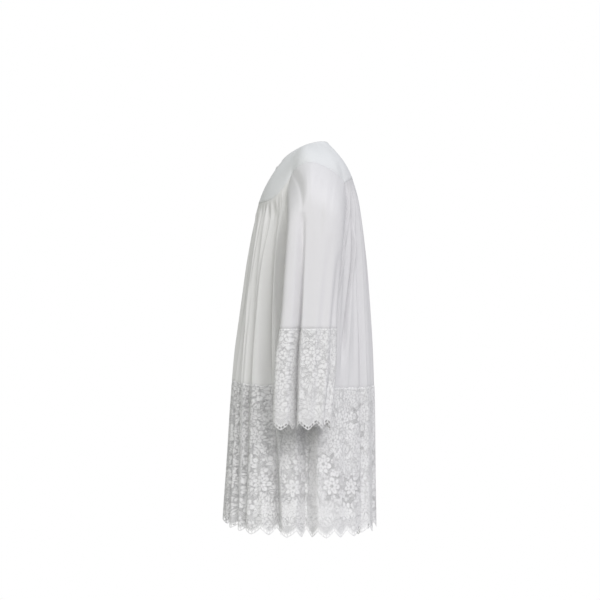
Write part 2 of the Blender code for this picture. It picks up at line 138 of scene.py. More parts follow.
# The lace's scalloped edge, with its cord and its ladder of gaps
SCALLOP_SPAN = 3
SCALLOP_COLUMNS = 6
SCALLOP_DEPTH = 0.016
SCALLOP_POINT = 1.3
HEM_SCALLOP = 0.042
CUFF_SCALLOP = 0.0377
CUFF_SCALLOPS = 12
EDGE_CORD = 0.0024
LADDER_GAP = 0.0048
LADDER_POST = 3
BORDER_TOP = 0.040
BORDER_ROWS = (0.35, 0.7, 1.0)
LARGE_GAP = 0.0060
# Painted shade: below this height the lace's holes are filled near solid with its painted grey.
LOW_SHADE_BAND = 0.045

# Stitches, and how far each line of them lies from its edge
STITCH_PITCH = 0.0030
STITCH_LENGTH = 0.0022
STITCH_WIDTH = 0.0007
STITCH_RAISE = 0.0001
NECK_STITCHES = 0.0050
SEAM_STITCHES = 0.0026
LACE_STITCHES = 0.0030

# Outlines of the body and of a sleeve at each height
Ring = namedtuple("Ring", "height front back inner outer front_round back_round outer_round")
BODY_RINGS = [Ring(*row) for row in (
    (-0.06, -0.098, 0.098, -0.163, 0.163, 2.3, 3.6, 2.3),
    (-0.095, -0.1175, 0.11, -0.166, 0.166, 2.3, 3.4, 2.3),
    (-0.155, -0.1375, 0.125, -0.17, 0.17, 2.3, 3, 2.3),
    (-0.25, -0.1575, 0.1385, -0.174, 0.174, 2.25, 2.6, 2.25),
    (-0.37, -0.175, 0.1475, -0.179, 0.179, 2.2, 2.4, 2.2),
    (-0.49, -0.19, 0.155, -0.188, 0.188, 2.2, 2.3, 2.2),
    (-0.64, -0.2025, 0.16, -0.201, 0.201, 2.15, 2.2, 2.15),
    (-0.76, -0.21, 0.161, -0.224, 0.224, 2.1, 2.2, 2.1),
    (-0.94, -0.2225, 0.1635, -0.264, 0.264, 2.1, 2.2, 2.1),
)]
SLEEVE_RINGS = [Ring(*row, 2.2, 2.3, 10) for row in (
    (-0.04, -0.046, 0.085, 0.174, 0.276),
    (-0.1, -0.05, 0.084, 0.176, 0.288),
    (-0.2, -0.057, 0.078, 0.178, 0.3),
    (-0.3, -0.064, 0.069, 0.183, 0.306),
    (-0.435, -0.075, 0.06, 0.192, 0.31),
    (-0.5, -0.085, 0.059, 0.197, 0.312),
    (-0.59, -0.089, 0.053, 0.206, 0.314),
    (-0.68, -0.091, 0.043, 0.214, 0.316),
)]

# Long folds on the lines of the solids' folds, some of them sharper, then the softer creases
# between them. Angles and widths are degrees, drift is added at the top, start is the height
# where a fold begins, and a crease runs from its top height down to its low one.
Fold = namedtuple("Fold", "angle drift width depth start")
BODY_FOLDS = [Fold(*row) for row in (
    (12, -5, 6, 0.022, -0.16),
    (24, -10, 5, 0.023, -0.13),
    (36, -19, 5.5, 0.036, -0.13),
    (47, -13, 5, 0.033, -0.12),
    (72, -22, 8, 0.042, -0.1),
    (95, -6, 7.5, 0.038, -0.3),
    (123, 2, 9, 0.006, -0.46),
    (144, 2, 7, 0.03, -0.09),
    (163, 4, 7, 0.018, -0.1),
    (-9, 4, 6, 0.017, -0.13),
    (-21, 9, 6.5, 0.027, -0.14),
    (-34, 13, 6, 0.02, -0.13),
    (-51, 15, 8, 0.036, -0.12),
    (-72, 20, 8, 0.04, -0.11),
    (-97, 8, 8.5, 0.042, -0.31),
    (-119, 0, 8, 0.02, -0.4),
    (-139, -3, 7.5, 0.032, -0.09),
    (-157, -3, 7, 0.021, -0.1),
    (179, 3, 7.5, 0.024, -0.11),
)]
SLEEVE_FOLDS = [Fold(*row) for row in (
    (72, -12, 13, 0.044, -0.17),
    (112, 6, 15, 0.008, -0.22),
    (146, 3, 17, 0.013, -0.26),
    (186, -2, 16, 0.015, -0.16),
    (216, 0, 17, 0.013, -0.28),
    (250, 0, 20, 0.016, -0.30),
    (300, 0, 19, 0.014, -0.24),
    (349, 2, 14, 0.010, -0.20),
)]
Crease = namedtuple("Crease", "angle drift width depth top low")
BODY_CREASES = [Crease(*row) for row in (
    (55, -6, 6, -0.01, -0.13, -1.2),
    (-58, 8, 6, -0.009, -0.13, -1.2),
    (4, -1, 2.6, 0.005, -0.12, -0.5),
    (17, -6, 2.4, 0.007, -0.12, -0.62),
    (31, 1, 2, -0.004, -0.12, -0.46),
    (25, -2, 1.8, 0.009, -0.12, -0.42),
    (44, 2, 2.1, 0.013, -0.12, -0.6),
    (61, -7, 2.6, 0.016, -0.11, -0.7),
    (60, 0, 1.8, 0.008, -0.11, -0.27),
    (66, -3, 1.9, -0.01, -0.12, -0.8),
    (73, -5, 3.4, 0.019, -0.1, -0.7),
    (86, -10, 3, 0.003, -0.26, -0.74),
    (108, -2, 3.2, 0.003, -0.24, -0.66),
    (117, 26, 2.6, 0.024, -0.08, -0.56),
    (124, 25, 2.4, -0.006, -0.09, -0.42),
    (108, 26, 2.6, -0.005, -0.09, -0.42),
    (131, 8, 3, 0.003, -0.1, -0.6),
    (139, 2, 2.4, 0.004, -0.09, -0.44),
    (152, 3, 2.6, 0.0036, -0.1, -0.68),
    (171, 4, 2.6, 0.003, -0.1, -0.5),
    (-3, 2, 2.4, 0.006, -0.12, -0.48),
    (-15, 5, 2.6, 0.006, -0.12, -0.66),
    (-28, 3, 2.4, 0.007, -0.12, -0.5),
    (-43, -1, 2.8, 0.0075, -0.11, -0.58),
    (-62, 8, 2.6, 0.013, -0.11, -0.56),
    (-71, 5, 3, 0.014, -0.1, -0.52),
    (-84, 12, 3, 0.003, -0.28, -0.78),
    (-106, 3, 3.2, 0.0026, -0.24, -0.62),
    (-121, -14, 4.2, 0.005, -0.09, -0.54),
    (-131, -6, 2.8, 0.0034, -0.1, -0.58),
    (-148, -3, 2.4, 0.004, -0.09, -0.66),
    (-168, -2, 2.8, 0.0034, -0.1, -0.54),
)]
SLEEVE_CREASES = [Crease(*row) for row in (
    (97, -4, 7, 0.0018, -0.04, -0.26),
    (112, 0, 7, 0.0012, -0.05, -0.20),
    (166, 2, 8, 0.0018, -0.10, -0.52),
    (232, 0, 9, 0.0022, -0.20, -0.56),
    (275, 0, 9, 0.0020, -0.24, -0.60),
    (326, 2, 8, 0.0024, -0.16, -0.58),
)]

# The armhole below the yoke, and the shoulder
Point = namedtuple("Point", "out along height")
ARMHOLE_FRONT = (
    Point(0.16, -0.058, -0.112),
    Point(0.167, -0.05, -0.186),
    Point(0.1715, -0.026, -0.245),
    Point(0.1735, 0.008, -0.268),
)
ARMHOLE_BACK = (
    Point(0.1735, 0.008, -0.268),
    Point(0.1715, 0.042, -0.248),
    Point(0.166, 0.07, -0.19),
    Point(0.158, 0.084, -0.13),
)
SHOULDER = (
    Point(0.174, -0.03, -0.051),
    Point(0.189, -0.002, -0.043),
    Point(0.184, 0.03, -0.052),
    Point(0.17, 0.058, -0.068),
)


def lengths_from_first(points):
    """Metres from the first point of a line, or the first row of a grid, to each one."""
    steps = np.linalg.norm(np.diff(points, axis=0), axis=-1)
    return np.concatenate([0 * steps[:1], np.cumsum(steps, axis=0)])


def on_curve(at, values, where):
    """Rows of values at places on a smooth curve through the rows known at a few."""
    slopes = np.gradient(values, at, axis=0)
    low = np.clip(np.searchsorted(at, where) - 1, 0, len(at) - 2)
    span = (at[low + 1] - at[low])[:, None]
    t = (where - at[low])[:, None] / span
    start = values[low] * (1 + 2 * t) * (1 - t) ** 2 + slopes[low] * span * t * (1 - t) ** 2
    end = values[low + 1] * t * t * (3 - 2 * t) + slopes[low + 1] * span * t * t * (t - 1)
    return start + end


def ring_at(rings, height):
    """An outline's measures at each height, on smooth curves through its rows."""
    table = np.array(rings)[::-1]
    at = table[:, 0]
    return Ring(*on_curve(at, table, np.clip(height, at[0], at[-1])).T)


def signed_power(value, power):
    return np.sign(value) * np.abs(value) ** power


def unit(vectors):
    return vectors / np.maximum(np.linalg.norm(vectors, axis=-1, keepdims=True), 1e-12)


def eased(share):
    share = np.clip(share, 0, 1)
    return share * share * (3 - 2 * share)


def ring_point(rings, angle, height):
    """Points of an outline, at angles from its front towards its outer side."""
    ring = ring_at(rings, height)
    before = np.cos(angle) > 0
    roundness = np.where(before, ring.front_round, ring.back_round)
    forward = signed_power(np.cos(angle), 2 / roundness)
    roundness = np.where(before & (np.sin(angle) > 0), ring.outer_round, roundness)
    aside = np.clip(1 - np.abs(forward) ** roundness, 0, 1) ** (1 / roundness)
    aside = np.sign(np.sin(angle)) * aside
    x = (ring.outer + ring.inner + (ring.outer - ring.inner) * aside) / 2
    y = (ring.front + ring.back - (ring.back - ring.front) * forward) / 2
    return np.stack([x, y, height], axis=-1)


def inward(rings, angle, height):
    """The direction in from each point of an outline."""
    ring = ring_at(rings, height)
    x = -np.sin(angle) / (ring.outer - ring.inner)
    y = np.cos(angle) / (ring.back - ring.front)
    return unit(np.stack([x, y, 0 * angle], axis=-1))


def turned_by(angle, centre):
    return (angle - centre + math.pi) % TURN - math.pi


def fold_depth(folds, low, angle, height):
    """How far the long folds press an outline in."""
    depth = 0 * angle
    for fold in folds:
        grown = np.clip((fold.start - height) / (fold.start - low), 0, 1)
        centre = np.radians(fold.angle + fold.drift * (1 - grown))
        near = np.clip(turned_by(angle, centre) / math.radians(fold.width), -1, 1)
        depth = depth + fold.depth * grown**FOLD_GROWTH * np.cos(near * math.pi / 2) ** 2
    return depth


def crease_depth(creases, angle, height):
    """Soft creases that fade in and out along their length."""
    depth = 0 * angle
    for crease in creases:
        along = (crease.top - height) / (crease.top - crease.low)
        strength = eased(along * CREASE_STARTS) * eased((1 - along) * CREASE_ENDS)
        centre = np.radians(crease.angle + crease.drift * (1 - np.clip(along, 0, 1)))
        near = turned_by(angle, centre) / math.radians(crease.width)
        depth = depth + crease.depth * strength * np.exp(-2 * near**2)
    return depth


Cloth = namedtuple("Cloth", "rings folds creases low")
BODY = Cloth(BODY_RINGS, BODY_FOLDS, BODY_CREASES, HEM_BACK)
SLEEVE = Cloth(SLEEVE_RINGS, SLEEVE_FOLDS, SLEEVE_CREASES, CUFF_LOW)


def folded(cloth, angle, height, pressed=1.0, extra=0.0):
    """Points of an outline pressed in by its folds and creases, and by an extra depth."""
    depth = fold_depth(cloth.folds, cloth.low, angle, height)
    depth = depth + crease_depth(cloth.creases, angle, height)
    depth = pressed * depth + extra
    way = inward(cloth.rings, angle, height)
    return ring_point(cloth.rings, angle, height) + way * depth[:, None]


def angle_of(rings, points):
    """The angle on an outline that lies nearest to each point of an edge."""
    ring = ring_at(rings, points[:, 2])
    x = (2 * points[:, 0] - ring.outer - ring.inner) / (ring.outer - ring.inner)
    y = (ring.front + ring.back - 2 * points[:, 1]) / (ring.back - ring.front)
    roundness = np.where(y > 0, ring.front_round, ring.back_round)
    return np.arctan2(signed_power(x, roundness / 2), signed_power(y, roundness / 2))


def equal_angles(cloth, start, end, count):
    """Angles from start to end that part the folded low edge into equal lengths."""
    dense = np.linspace(start, end, MEASURED_POINTS)
    level = np.full(dense.shape, cloth.low)
    depth = fold_depth(cloth.folds, cloth.low, dense, level)
    points = ring_point(cloth.rings, dense, level)
    points = points + inward(cloth.rings, dense, level) * depth[:, None]
    length = lengths_from_first(points)
    return np.interp(np.linspace(0, length[-1], count + 1), length, dense)


def through(points, count):
    """Points at equal steps along a smooth curve through a few."""
    points = np.array(points)
    at = lengths_from_first(points)
    return on_curve(at, points, np.linspace(0, at[-1], count + 1))


def yoke_front_edge(count):
    """The yoke's edge in front, from the right armhole round to the left one."""
    share = np.linspace(-1, 1, count + 1)
    rise = (YOKE_FRONT_CORNER - YOKE_FRONT) * np.abs(share) ** YOKE_FRONT_CURVE
    return ring_point(BODY_RINGS, share * FRONT_CORNER, YOKE_FRONT + rise)


def yoke_back_edge(count):
    """The yoke's edge behind, from the left armhole round to the right one."""
    share = np.linspace(-1, 1, count + 1)
    rise = (YOKE_BACK_CORNER - YOKE_BACK) * np.abs(share) ** YOKE_BACK_CURVE
    angle = math.pi + share * (math.pi - BACK_CORNER)
    return ring_point(BODY_RINGS, angle, YOKE_BACK + rise)


def mirrored(points):
    return (points * np.array([-1, 1, 1]))[::-1]


def armhole_parts(fine):
    """The left armhole in three edges: down the front, up the back, and over the shoulder."""
    front_corner = yoke_front_edge(2)[-1]
    back_corner = yoke_back_edge(2)[0]
    front = through([front_corner, *ARMHOLE_FRONT], ARMHOLE_COLUMNS * fine)
    back = through([*ARMHOLE_BACK, back_corner], ARMHOLE_COLUMNS * fine)
    shoulder = through([front_corner, *SHOULDER, back_corner], SHOULDER_COLUMNS * fine)
    return front, back, shoulder


def pleat_share(columns, edge_columns, fine):
    """The pleats' pressed-in share at each column, nothing beside the armholes."""
    index = np.arange(columns + 1)
    width = PLEAT_COLUMNS * fine
    inside = (index >= edge_columns) & (index <= columns - edge_columns)
    pleat = (index - edge_columns) // width
    step = ((index - edge_columns) % width) / width
    uneven = 1 - PLEAT_UNEVEN + PLEAT_UNEVEN * np.sin(2.4 * pleat + 0.7)
    pressed = np.sin(math.pi * step**PLEAT_LEAN) ** PLEAT_POINT * uneven
    return np.where(inside, pressed, 0.0)


def lace_seam(angle):
    middle = (LACE_SEAM_FRONT + LACE_SEAM_BACK) / 2
    return middle + (LACE_SEAM_FRONT - LACE_SEAM_BACK) / 2 * np.cos(angle)


def hem_low(angle):
    middle = (HEM_FRONT + HEM_BACK) / 2
    return middle + (HEM_FRONT - HEM_BACK) / 2 * np.cos(angle)


def unwrapped(top_angle, low_angle):
    return top_angle + TURN * np.round((low_angle - top_angle) / TURN)


def hanging_rows(cloth, top, top_angle, low_angle, low_height, count, fade, pleats=0.0):
    """Rows of a panel from its sewn top edge down to its low edge."""
    off_ring = top - ring_point(cloth.rings, top_angle, top[:, 2])
    rows = []
    for share in np.linspace(0, 1, count) ** ROWS_CLOSER:
        height = top[:, 2] + (low_height - top[:, 2]) * share
        angle = top_angle + (low_angle - top_angle) * share**SPREAD
        left = np.clip(1 - (top[:, 2] - height) / fade, 0, 1) ** FADE_POWER
        sewn = eased(share / SEWN_SHARE)
        depth = PLEAT_DEPTH * pleats * sewn * (1 - (1 - PLEAT_AT_SEAM) * share)
        rows.append(folded(cloth, angle, height, sewn, depth) + off_ring * left[:, None])
    return rows


def neck_point(angle):
    """The neck opening: low at the front and level behind."""
    x = NECK_HALF_WIDTH * np.sin(angle)
    y = (NECK_FRONT + NECK_BACK) / 2 - (NECK_BACK - NECK_FRONT) / 2 * np.cos(angle)
    share = (1 - np.cos(angle)) / 2
    height = NECK_FRONT_HEIGHT + (NECK_BACK_HEIGHT - NECK_FRONT_HEIGHT) * share * (2 - share)
    return np.stack([x, y, height], axis=-1)


# Meshes


def put(name, data):
    """A new object in the scene."""
    thing = bpy.data.objects.new(name, data)
    bpy.context.scene.collection.objects.link(thing)
    return thing


def grid_normals(rows, closed):
    """The outward direction at each point of a grid whose rows run down the cloth."""
    rows = np.array(rows)
    down = np.gradient(rows, axis=0)
    if closed:
        along = (np.roll(rows, -1, axis=1) - np.roll(rows, 1, axis=1)) / 2
    else:
        along = np.gradient(rows, axis=1)
    return unit(np.cross(down, along))


def tuck(rows, closed, reach, sides=0.0):
    """Turns a grid's edges in a little, as a sewn seam does, with a row or column each."""
    rows = np.array(rows)
    normals = grid_normals(rows, closed)
    top = rows[0] - normals[0] * TOP_TURNED + unit(rows[0] - rows[1]) * reach
    low = rows[-1] - normals[-1] * LOW_TURNED + unit(rows[-1] - rows[-2]) * reach
    rows = np.concatenate([top[None], rows, low[None]])
    normals = np.concatenate([normals[:1], normals, normals[-1:]])
    if sides:
        first = rows[:, :1] - normals[:, :1] * sides
        last = rows[:, -1:] - normals[:, -1:] * sides
        rows = np.concatenate([first, rows, last], axis=1)
    return rows


def cloth_mesh(name, rows, along, down, closed, sign, gaps=()):
    """A sheet of faces through rows of points, with its cloth lengths as a UV map. With a
    sign of -1 it is mirrored."""
    count, columns = rows.shape[:2]
    rows = rows * np.array([sign, 1, 1])
    mesh = bmesh.new()
    points = [[mesh.verts.new(point) for point in row] for row in rows]
    layer = mesh.loops.layers.uv.new("Cloth")
    for i in range(count - 1):
        for j in range(columns if closed else columns - 1):
            if (i, j) in gaps:
                continue
            k = (j + 1) % columns
            corners = [(i, j, j), (i + 1, j, j), (i + 1, k, j + 1), (i, k, j + 1)]
            if sign < 0:
                corners.reverse()
            face = mesh.faces.new([points[a][b] for a, b, _ in corners])
            face.smooth = True
            for loop, (a, b, at) in zip(face.loops, corners):
                loop[layer].uv = along[at], down[a][at] if np.ndim(down) > 1 else down[a]
    loose = [vert for vert in mesh.verts if not vert.link_faces]
    bmesh.ops.delete(mesh, geom=loose, context="VERTS")
    data = bpy.data.meshes.new(name)
    mesh.to_mesh(data)
    mesh.free()
    return data


SEAMS = []


def mark_stitches(rows, closed, distance, sign=1, from_top=False, wanted=None):
    """Keeps a line for stitches at a distance along the cloth from its low or top edge."""
    rows = np.array(rows)
    normals = grid_normals(rows, closed)
    if not from_top:
        rows, normals = rows[::-1], normals[::-1]
    far = lengths_from_first(rows)
    line = np.array(
        [
            [
                [np.interp(distance, far[:, column], field[:, column, axis]) for axis in range(3)]
                for column in range(rows.shape[1])
            ]
            for field in (rows, normals)
        ]
    )
    if wanted is not None:
        first = int(np.argmin(wanted))
        line = np.roll(line, -first, axis=1)[:, np.roll(wanted, -first)]
    elif closed:
        line = np.concatenate([line, line[:, :1]], axis=1)
    points, out = line * np.array([sign, 1, 1])
    SEAMS.append((points + out * STITCH_RAISE, out))


def make_cloth(name, data, material, thickness, nodes):
    """A piece of cloth with its wall, in place of its solids."""
    piece = put(name, data)
    data.materials.append(material)
    solidify = piece.modifiers.new("Cloth", "SOLIDIFY")
    solidify.thickness = thickness
    solidify.offset = -1
    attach(piece, "root")
    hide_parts(*nodes)


def plain_cloth(name, rows, closed, material, nodes, sign=1):
    """A piece of cotton. Its UV map holds metres along its middle row and down its columns."""
    middle = rows[len(rows) // 2]
    if closed:
        middle = np.concatenate([middle, middle[:1]])
    down = lengths_from_first(rows).mean(axis=1)
    data = cloth_mesh(name, rows, lengths_from_first(middle), down, closed, sign)
    make_cloth(name, data, material, CLOTH, nodes)


# Materials

# How softly a lace thread's edge fades
SOFT = 0.22 * MM


def operator_for(operation, swapped=False):
    """An operator that adds a Math node, with its inputs swapped in a reflected form."""

    def added(self, other):
        inputs = (other, self) if swapped else (self, other)
        return Value.math(operation, *inputs)

    return added


class Value:
    """A number on a shader socket, with the usual operators."""

    tree = None

    def __init__(self, socket):
        self.socket = socket

    @classmethod
    def feed(cls, socket, value):
        if isinstance(value, cls):
            cls.tree.links.new(value.socket, socket)
        else:
            socket.default_value = value

    @classmethod
    def node(cls, kind, settings, output, *values, **inputs):
        """A node of any kind: its settings, then its inputs' values or links, in order or
        by name."""
        node = cls.tree.nodes.new(kind if "Node" in kind else "ShaderNode" + kind)
        for key, value in settings.items():
            setattr(node, key, value)
        for socket, value in zip(node.inputs, values):
            cls.feed(socket, value)
        fill(node, **inputs)
        return cls(node.outputs[output])

    @classmethod
    def math(cls, operation, *values, clamp=False):
        return cls.node("Math", {"operation": operation, "use_clamp": clamp}, 0, *values)

    __add__ = __radd__ = operator_for("ADD")
    __sub__ = operator_for("SUBTRACT")
    __rsub__ = operator_for("SUBTRACT", swapped=True)
    __mul__ = __rmul__ = operator_for("MULTIPLY")
    __truediv__ = operator_for("DIVIDE")
    __rtruediv__ = operator_for("DIVIDE", swapped=True)
    __pow__ = operator_for("POWER")
    __lt__ = operator_for("LESS_THAN")
    __gt__ = operator_for("GREATER_THAN")

    def __abs__(self):
        return self.math("ABSOLUTE", self)


floor = partial(Value.math, "FLOOR")
part_of = partial(Value.math, "FRACT")
sine = partial(Value.math, "SINE")
cosine = partial(Value.math, "COSINE")
smaller = partial(Value.math, "MINIMUM")


def fill(node, **inputs):
    """Gives a node's inputs their values or links, by name."""
    for key, value in inputs.items():
        Value.feed(node.inputs[key.replace("_", " ")], value)


def larger(*values):
    most = values[0]
    for value in values[1:]:
        most = Value.math("MAXIMUM", most, value)
    return most


def clamped(value):
    return Value.math("MULTIPLY", value, 1.0, clamp=True)


def inside(distance, edge=SOFT):
    """1 where a distance is below zero, with a soft edge."""
    return Value.math("MULTIPLY_ADD", distance, -1 / edge, 0.5, clamp=True)


def parts(vector, kind="XYZ"):
    first = Value.node("Separate" + kind, {}, 0, vector)
    return [Value(socket) for socket in first.socket.node.outputs]


def vector_of(x, y, z=0.0):
    return Value.node("CombineXYZ", {}, 0, X=x, Y=y, Z=z)


def noise(vector, scale, detail=2.0, roughness=0.5):
    return Value.node(
        "TexNoise", {}, "Fac", Vector=vector, Scale=scale, Detail=detail, Roughness=roughness
    )


def begin_material(name, roughness, sheen):
    """A soft material, whose nodes are then added."""
    material = bpy.data.materials.new(name)
    material.use_nodes = True
    Value.tree = material.node_tree
    shader = material.node_tree.nodes["Principled BSDF"]
    fill(shader, Roughness=roughness, Metallic=0.0, Specular_IOR_Level=0.25)
    fill(shader, Sheen_Weight=sheen, Sheen_Roughness=0.5)
    return material, shader


def cloth_uv():
    return Value.node("UVMap", {"uv_map": "Cloth"}, 0)


def mixed(share, first, second):
    """A colour between two, by a share."""
    node = Value.tree.nodes.new("ShaderNodeMix")
    node.data_type = "RGBA"
    for place, value in ((0, share), (6, first), (7, second)):
        Value.feed(node.inputs[place], (*value, 1) if isinstance(value, tuple) else value)
    return Value(node.outputs[2])


def bumped(shader, height, distance, strength):
    normal = Value.node("Bump", {}, 0, Height=height, Distance=distance, Strength=strength)
    fill(shader, Normal=normal)


# Cotton: its weave, and how many slubs, ripples and cloudy tones come in a metre of cloth
WEAVE = 0.55 * MM
SLUBS = (900, 60)
RIPPLES = (60, 14)
CLOUDS = 22.0
THREAD_TWIST = 0.7 * MM


def weave_height(u, v):
    """A plain weave: threads over and under by turns."""
    across = sine(u * (TURN / WEAVE))
    along = sine(v * (TURN / WEAVE))
    return across * along * 0.5 + 0.5


def cotton(name, dark, light):
    """Fine plain cotton: weave, slubs and soft handling creases."""
    material, shader = begin_material(name, 0.80, 0.15)
    u, v, _ = parts(cloth_uv())
    slub = noise(vector_of(u * SLUBS[0], v * SLUBS[1]), 1.0, 2.0)
    cloudy = noise(vector_of(u, v), CLOUDS, 3.0)
    ripple = noise(vector_of(u * RIPPLES[0], v * RIPPLES[1]), 1.0, 3.0, 0.55)
    share = clamped(cloudy * 0.6 + slub * 0.5)
    fill(shader, Base_Color=mixed(share, dark, light))
    height = weave_height(u, v) * 0.12 + slub * 0.10 + ripple * 1.2
    bumped(shader, height, 0.0012, 0.6)
    return material


def sewing_thread():
    """White sewing thread with a slight twist and uneven tone."""
    material, shader = begin_material("sewing thread", 0.60, 0.1)
    place = Value.node("TexCoord", {}, "Object")
    x, y, z = parts(place)
    uneven = noise(place, 700.0, 1.0)
    twist = sine((x + y + z) * (TURN / THREAD_TWIST)) * 0.5 + 0.5
    share = clamped(uneven * 0.6 + twist * 0.4)
    fill(shader, Base_Color=mixed(share, (0.80,) * 3, (0.93,) * 3))
    bumped(shader, twist, 0.0001, 0.6)
    return material


# Lace: how far and how often its design is pulled about, and its nets. A flower has its
# reach, its petals, the cell that holds one, where the cells start, how far inside one it
# stays, and a seed. Stems run a way, a spacing apart, with a leaf at each pitch.
PULL = 14 * MM
PULLS = 26.0
FINE_MESH = 1.4 * MM
COARSE_MESH = 4.2 * MM
HOLE_PITCH = 9.6 * MM
Flower = namedtuple("Flower", "reach petals cell start margin seed")
ROSE = Flower(19.5 * MM, 7, (0.062, 0.054), (0.022, 0.034), 0.022, 1.0)
DAISY = Flower(11.0 * MM, 6, (0.044, 0.038), (0.010, 0.004), 0.014, 2.0)
PETAL_LEAN = 1.25
Stems = namedtuple("Stems", "way pitch spacing shift")
STEMS = (Stems(0.75, 12.0 * MM, 46.0 * MM, 0.1), Stems(-0.95, 11.0 * MM, 58.0 * MM, 0.6))
STEM_WAVE = 3.5 * MM
LEAF_LENGTH = 15.0 * MM
LEAF_HALF_WIDTH = 3.5 * MM
LEAF_LEAN = math.radians(47)
OUTLINE = 1.5 * MM
ROSE_OUTLINE = 1.7 * MM
HALO = 4.8 * MM
OPENED_BELOW = 0.030
LACE_WHITE = 0.99

# The border's heights above the low edge, and the widths of what is in it
WINDOW_MIDDLE = 19 * MM
WINDOW_HALF = 8.5 * MM
NO_WINDOW = 0.45
LADDER_FOOT = 17 * MM
LADDER_RISE = 23 * MM
LADDER_DRIFT = 9 * MM
LADDER_HALF = 2.1 * MM
RUNG_PITCH = 4.6 * MM
EDGING = 10.4 * MM
EYELETS = 14.2 * MM
DOT_PITCH = 3.5 * MM
HEADING = 2.6 * MM
HEADING_EYELETS = 5.2 * MM


# A motif is given by its threads and by how far a point lies outside it, in metres


def in_cell(u, v, flower):
    """Distance and angle from one flower a cell, each cell's moved and turned by chance."""
    width, height = flower.cell
    down = (v - flower.start[1]) / height
    row = floor(down)
    shifted = (u - flower.start[0]) / width + row * 0.5
    chance = Value.node(
        "TexWhiteNoise", {"noise_dimensions": "3D"}, "Color",
        Vector=vector_of(floor(shifted), row, flower.seed),
    )
    first, second, third = parts(chance, "Color")
    x = (part_of(shifted) - 0.5) * width - (first - 0.5) * (width - 2 * flower.margin)
    y = (part_of(down) - 0.5) * height - (second - 0.5) * (height - 2 * flower.margin)
    far = (x * x + y * y) ** 0.5 * (1.16 - third * 0.32)
    return far, Value.math("ARCTAN2", y, x) + first * TURN, third


def petal_ring(far, angle, count, turn, start, end, half_width):
    """How far a point lies outside the nearest petal of a ring, and across and along it."""
    sector = (part_of(angle * (count / TURN) + turn) - 0.5) * (TURN / count)
    along = far * cosine(sector)
    across = abs(far * sine(sector))
    share = clamped((along - start) / (end - start))
    swell = sine(share**PETAL_LEAN * math.pi) ** 0.6
    return across - swell * half_width + 0.15 * MM, across, along


def rose(far, angle, reach, count):
    """Two rings of round petals about an eyelet."""
    width = reach * 0.62 * math.tan(math.pi / count) - 0.9 * MM
    outer, across, along = petal_ring(far, angle, count, 0.0, reach * 0.26, reach, width)
    inner, _, _ = petal_ring(far, angle, count, 0.5, reach * 0.14, reach * 0.56, width * 0.62)
    vein = inside(across - 0.30 * MM) * inside(along - reach * 0.78)
    low = inside(outer) * (1 - vein * 0.6) * (1 - inside(inner - 1.5 * MM))
    eyelet = inside(far - reach * 0.11)
    outside = smaller(outer, far - reach * 0.45)
    return larger(low, inside(inner)) * (1 - eyelet), outside


def daisy(far, angle, reach, count):
    """One ring of round petals with a hole in the middle."""
    width = reach * 0.50 * math.tan(math.pi / count)
    outer, _, _ = petal_ring(far, angle, count, 0.0, reach * 0.16, reach, width)
    eyelet = inside(far - reach * 0.20)
    return inside(outer) * (1 - eyelet), smaller(outer, far - reach * 0.30)


def lying(u, v, way):
    """Distances along a way in the cloth and beside it."""
    return u * math.cos(way) + v * math.sin(way), v * math.cos(way) - u * math.sin(way)


def vine(u, v, stems):
    """Leaves by turns on both sides of slowly waving stems."""
    along, beside = lying(u, v, stems.way)
    beside = beside + sine(along * (TURN / (stems.pitch * 5.3))) * STEM_WAVE
    beside = (part_of(beside / stems.spacing + stems.shift) - 0.5) * stems.spacing
    step = (part_of(along / stems.pitch + (beside > 0) * 0.5) - 0.22) * stems.pitch
    off = abs(beside)
    reach, across = lying(step, off, LEAF_LEAN)
    reach = reach - 0.5 * MM
    across = abs(across)
    swell = sine(clamped(reach / LEAF_LENGTH) * math.pi) ** 0.8
    out = across - swell * LEAF_HALF_WIDTH + 0.15 * MM
    vein = inside(across - 0.22 * MM) * inside(reach - LEAF_LENGTH * 0.7)
    stem = off - 0.55 * MM
    return larger(inside(out) * (1 - vein), inside(stem)), smaller(out, stem)


def mosaic(u, v, grain, way, apart):
    """Slim leaves packed side by side and lying one way, with a few left open."""
    along, beside = lying(u, v, way)
    place = vector_of(along * 0.60, beside)
    edge, cells = (
        Value.node(
            "TexVoronoi", {"voronoi_dimensions": "2D", "feature": feature}, output,
            Vector=place, Scale=1 / grain, Randomness=0.9,
        )
        for feature, output in (("DISTANCE_TO_EDGE", "Distance"), ("F1", "Color"))
    )
    chance, tone, _ = parts(cells, "Color")
    return inside(apart - edge, 0.05) * (chance > 0.12), tone


def dotted_net(u, v, pitch, hole):
    """Close net pierced by round holes in staggered rows."""
    across = abs(part_of(u / pitch) - 0.5)
    down = abs(part_of(v / pitch) - 0.5)
    nearer = (across**2 + down**2) ** 0.5
    between = ((0.5 - across) ** 2 + (0.5 - down) ** 2) ** 0.5
    return inside(hole / 2 / pitch - smaller(nearer, between), 0.05)


def diamond_net(u, v, pitch, thread):
    """Threads crossing in diamonds, each a share of the pitch wide."""
    first = abs(part_of((u + v) / pitch) - 0.5)
    second = abs(part_of((u - v) / pitch) - 0.5)
    return inside((1 - thread) / 2 - larger(first, second), 0.06)


def packed_leaves(u, v, wu, wv):
    """Packed leaves that lie one way or another by patches, between patches of bare net."""
    first, first_tone = mosaic(wu, wv, 11.0 * MM, 0.85, 0.11)
    second, second_tone = mosaic(wu, wv, 12.5 * MM, -0.75, 0.10)
    patch = noise(vector_of(u + 0.7, v), 19.0, 1.0) > 0.5
    threads = first * patch + second * (1 - patch)
    tone = first_tone * patch + second_tone * (1 - patch)
    bare = 0.50 - noise(vector_of(u, v + 0.9), 24.0, 1.0)
    threads = threads * (1 - inside(bare, 0.01))
    return larger(threads, inside(abs(bare) - 0.012, 0.006)), tone


